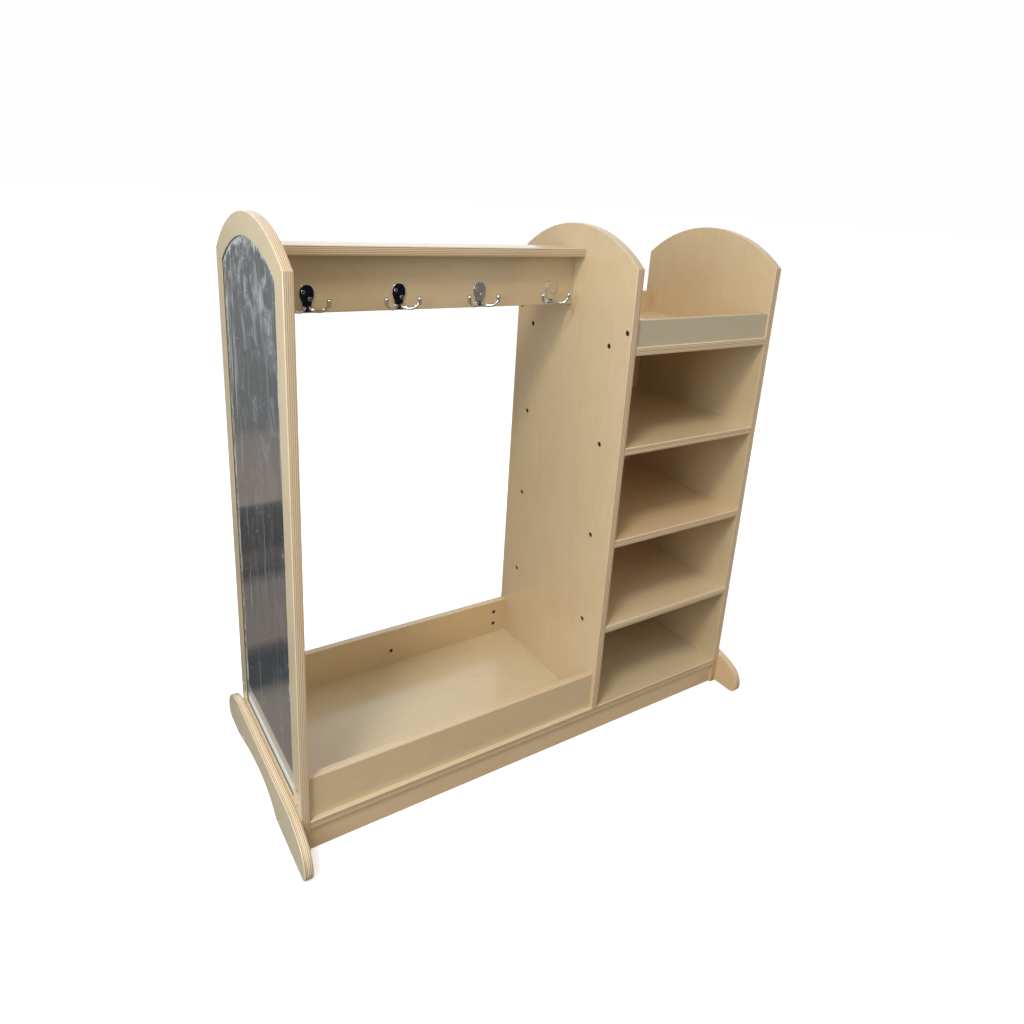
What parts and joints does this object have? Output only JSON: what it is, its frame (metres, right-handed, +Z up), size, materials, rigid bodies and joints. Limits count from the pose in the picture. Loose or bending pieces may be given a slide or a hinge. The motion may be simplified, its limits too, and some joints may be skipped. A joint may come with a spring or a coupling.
{
  "type": "dress-up storage unit",
  "caption": "Children's dress-up storage unit in birch plywood with arched sides, side mirror, coat hooks over an open hanging bay, floor tray and shelf bay on curved feet.",
  "frame": {"origin": "centre of the footprint, on the floor", "axes": "+Z up, open front faces -Y, mirror on the -X side, shelf bay on the +X side"},
  "size_m": [1.2, 0.568, 1.203],
  "materials": {
    "ply_x": "clear satin lacquer over birch plywood, plies stacked along X",
    "ply_y": "clear satin lacquer over birch plywood, plies stacked along Y",
    "ply_z": "clear satin lacquer over birch plywood, plies stacked along Z",
    "mirror": "mirror sheet under scuffed clear protective film",
    "chrome": "polished chrome plating",
    "black_steel": "black oxide",
    "dark_zinc": "dull dark zinc"
  },
  "bodies": {
    "root": {"left_side_panel": "ply_x", "divider_panel": "ply_x", "right_side_panel": "ply_x", "left_foot": "ply_x", "right_foot": "ply_x", "base_board": "ply_z", "top_board": "ply_z", "shelf_1": "ply_z", "shelf_2": "ply_z", "shelf_3": "ply_z", "shelf_4": "ply_z", "front_kick_rail": "ply_y", "rear_kick_rail": "ply_y", "tray_front_lip": "ply_y", "tray_back_lip": "ply_y", "top_tray_front_lip": "ply_y", "top_tray_back_lip": "ply_y", "hook_rail": "ply_y", "back_panel": "ply_y", "mirror_sheet": "mirror", "coat_hook_1": "chrome", "coat_hook_2": "chrome", "coat_hook_3": "chrome", "coat_hook_4": "chrome", "hook_screws": "chrome", "shelf_screws_left": "black_steel", "shelf_screws_right": "black_steel", "top_lip_screws_left": "black_steel", "top_lip_screws_right": "black_steel", "tray_bolts_left": "black_steel", "tray_bolts_right": "black_steel", "rail_screws_left": "black_steel", "rail_screws_right": "black_steel", "foot_screws_left": "black_steel", "foot_screws_right": "black_steel", "barrel_nuts": "dark_zinc", "tray_lip_screw": "dark_zinc"}
  },
  "joints": []
}
